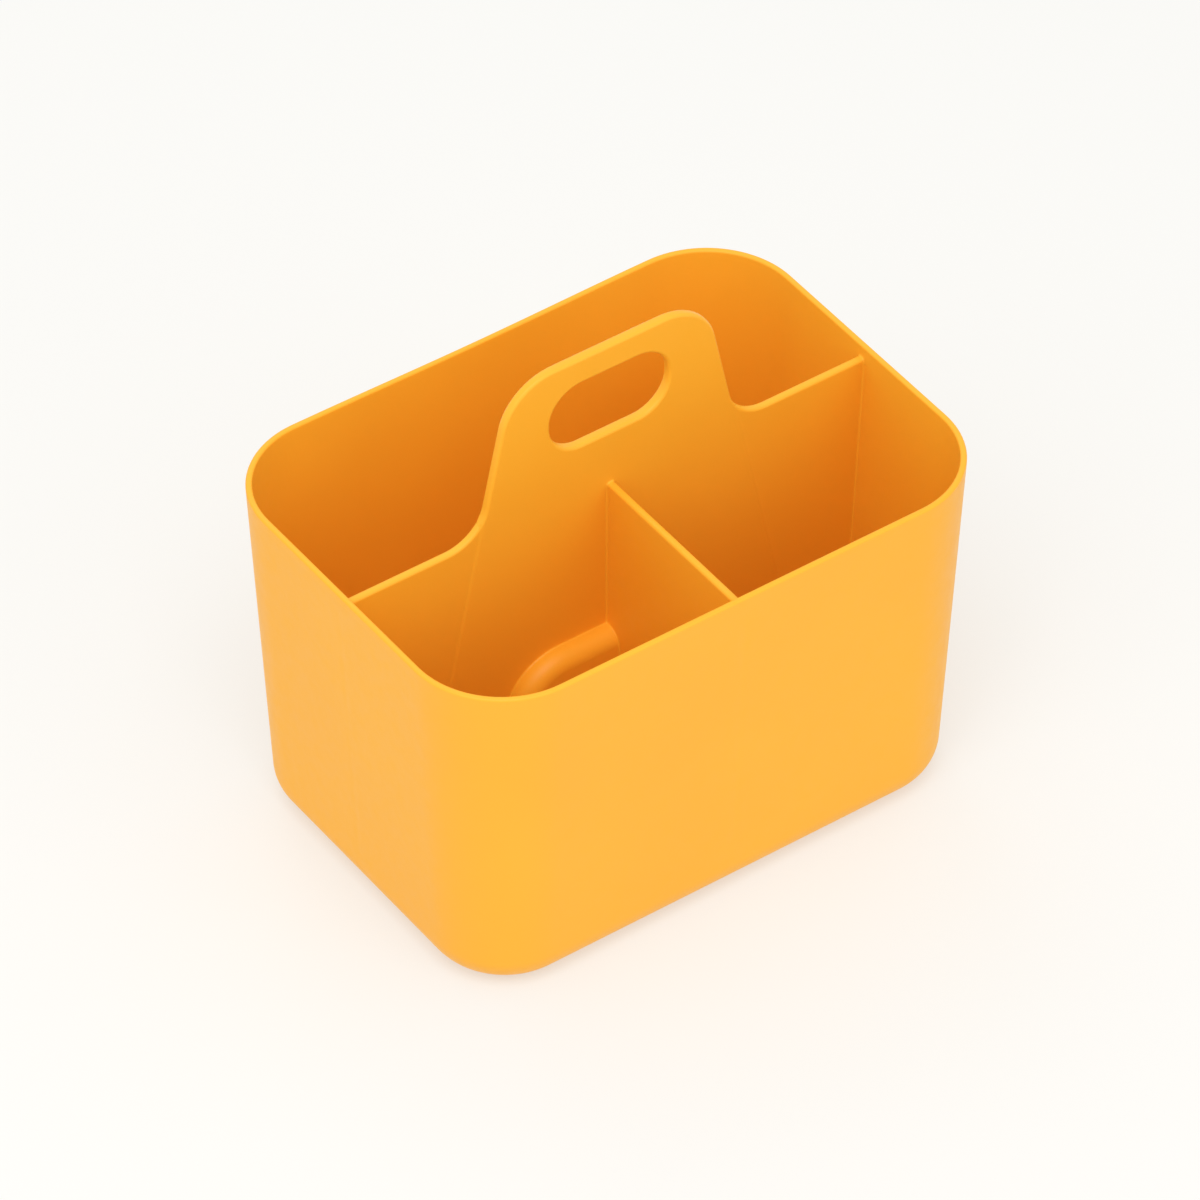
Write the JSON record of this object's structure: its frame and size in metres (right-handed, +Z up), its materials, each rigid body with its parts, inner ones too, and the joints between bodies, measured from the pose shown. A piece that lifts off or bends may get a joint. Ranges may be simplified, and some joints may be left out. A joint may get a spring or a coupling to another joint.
{
  "type": "cleaning caddy",
  "caption": "Open-top moulded cleaning caddy: drafted tub with rounded corners, inner dividers, a raised central handle with a grip slot, and a hollow floor pocket for stacking.",
  "frame": {"origin": "centre of the base, on the surface that the caddy stands on", "axes": "+X along the long side, +Y towards the undivided compartment, +Z up"},
  "size_m": [0.2998, 0.2186, 0.2695],
  "materials": {
    "polypropylene": "satin moulded polypropylene with a fine spark texture"
  },
  "bodies": {
    "root": {"tub_walls": "polypropylene", "tub_floor": "polypropylene", "nesting_pocket": "polypropylene", "handle_panel": "polypropylene", "divider_wing_left": "polypropylene", "divider_wing_right": "polypropylene", "cross_divider": "polypropylene"}
  },
  "joints": []
}
